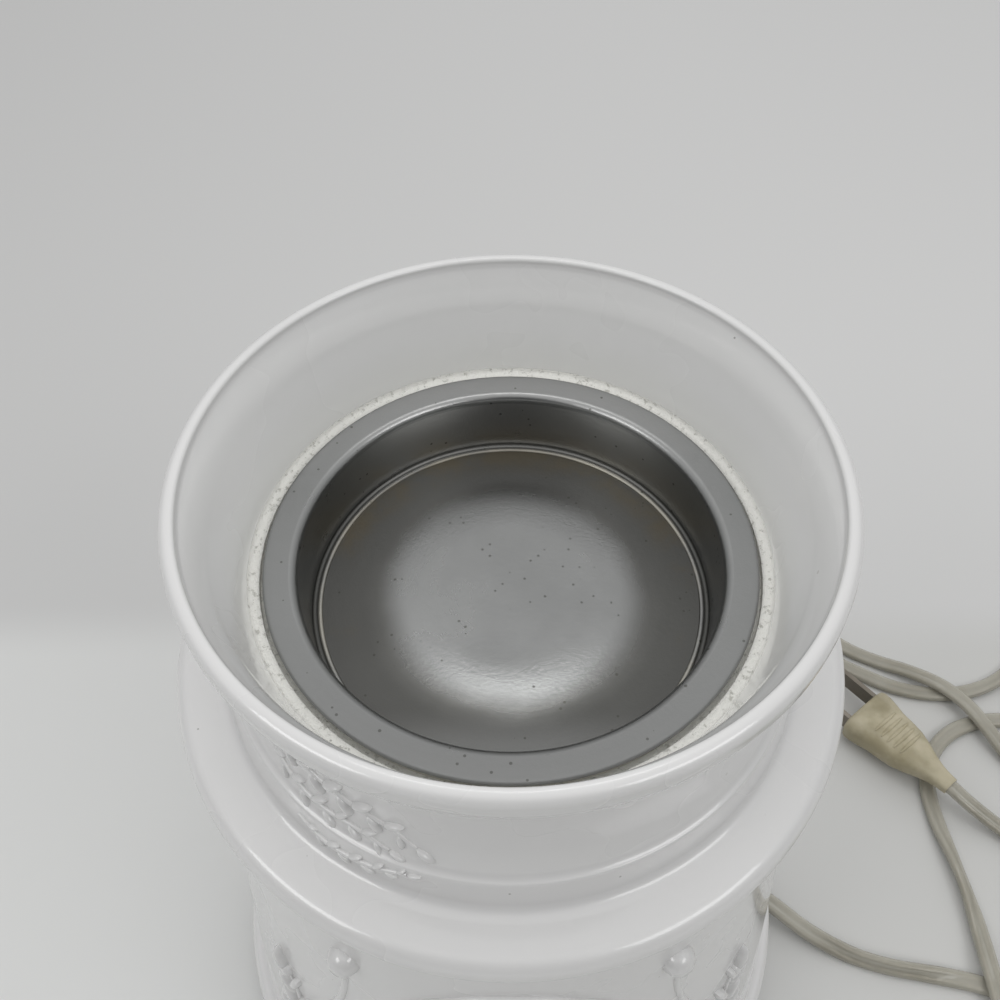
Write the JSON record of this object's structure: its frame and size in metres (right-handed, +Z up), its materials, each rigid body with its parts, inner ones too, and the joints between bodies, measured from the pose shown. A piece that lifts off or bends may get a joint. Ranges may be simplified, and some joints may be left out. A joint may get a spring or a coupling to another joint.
{
  "type": "wax melt warmer",
  "caption": "Electric wax melt warmer: a churn-shaped glazed ceramic body with a lift-out metal dish in its mouth, a heater under it, and a flat mains cord with switch and plug.",
  "frame": {"origin": "on the table, under the middle of the ceramic body", "axes": "+Z up along the body's axis, +Y away from the viewer, +X to the right, where the cord leaves the body"},
  "size_m": [0.3254, 0.2493, 0.2],
  "materials": {
    "glaze": "gloss",
    "dish_metal": "satin",
    "pan_metal": "satin",
    "fibre": "matte",
    "zinc_steel": "satin",
    "mica": "matte",
    "brass_parts": "satin",
    "lead_sleeve": "matte",
    "block_ceramic": "satin",
    "white_plastic": "matte",
    "grey_rubber": "matte",
    "base_paint": "satin",
    "clear_pvc": "gloss",
    "blade_metal": "satin",
    "switch_plastic": "satin"
  },
  "bodies": {
    "warmer": {"ceramic_body": "glaze", "heating_pan": "pan_metal", "pan_gasket": "fibre", "tie_rod": "zinc_steel", "heater_element": "mica", "insulation_disc": "mica", "heater_clamp": "zinc_steel", "clamp_nut": "brass_parts", "heat_shield": "zinc_steel", "shield_nuts": "brass_parts", "thermal_fuse": "zinc_steel", "fuse_clip": "zinc_steel", "heater_leads": "lead_sleeve", "terminal_block": "block_ceramic", "terminal_screws": "brass_parts", "supply_leads": "lead_sleeve", "cord_clamp": "white_plastic", "clamp_screws": "zinc_steel", "cord_grommet": "grey_rubber", "base_plate": "base_paint", "base_washer": "zinc_steel", "base_nut": "brass_parts", "rubber_feet": "grey_rubber", "cord_from_body": "clear_pvc", "cord_middle": "clear_pvc", "cord_coil": "clear_pvc", "coil_tie": "white_plastic", "cord_to_plug": "clear_pvc", "plug_body": "clear_pvc", "plug_blades": "blade_metal", "switch_lower": "switch_plastic", "switch_upper": "switch_plastic", "switch_axle": "zinc_steel", "switch_contacts": "brass_parts", "switch_screws": "zinc_steel"},
    "dish": {"wax_dish": "dish_metal"},
    "switch_wheel": {"switch_wheel": "white_plastic"}
  },
  "joints": [
    {"name": "dish_lift", "type": "slide", "parent": "warmer", "child": "dish", "axis": [0, 0, 1], "range_m": [0, 0.045]},
    {"name": "switch_roll", "type": "hinge", "parent": "warmer", "child": "switch_wheel", "pos_m": [0.189, -0.0461, 0.0115], "axis": [0.3584, 0.9336, 0], "range_deg": [0, 60]}
  ]
}
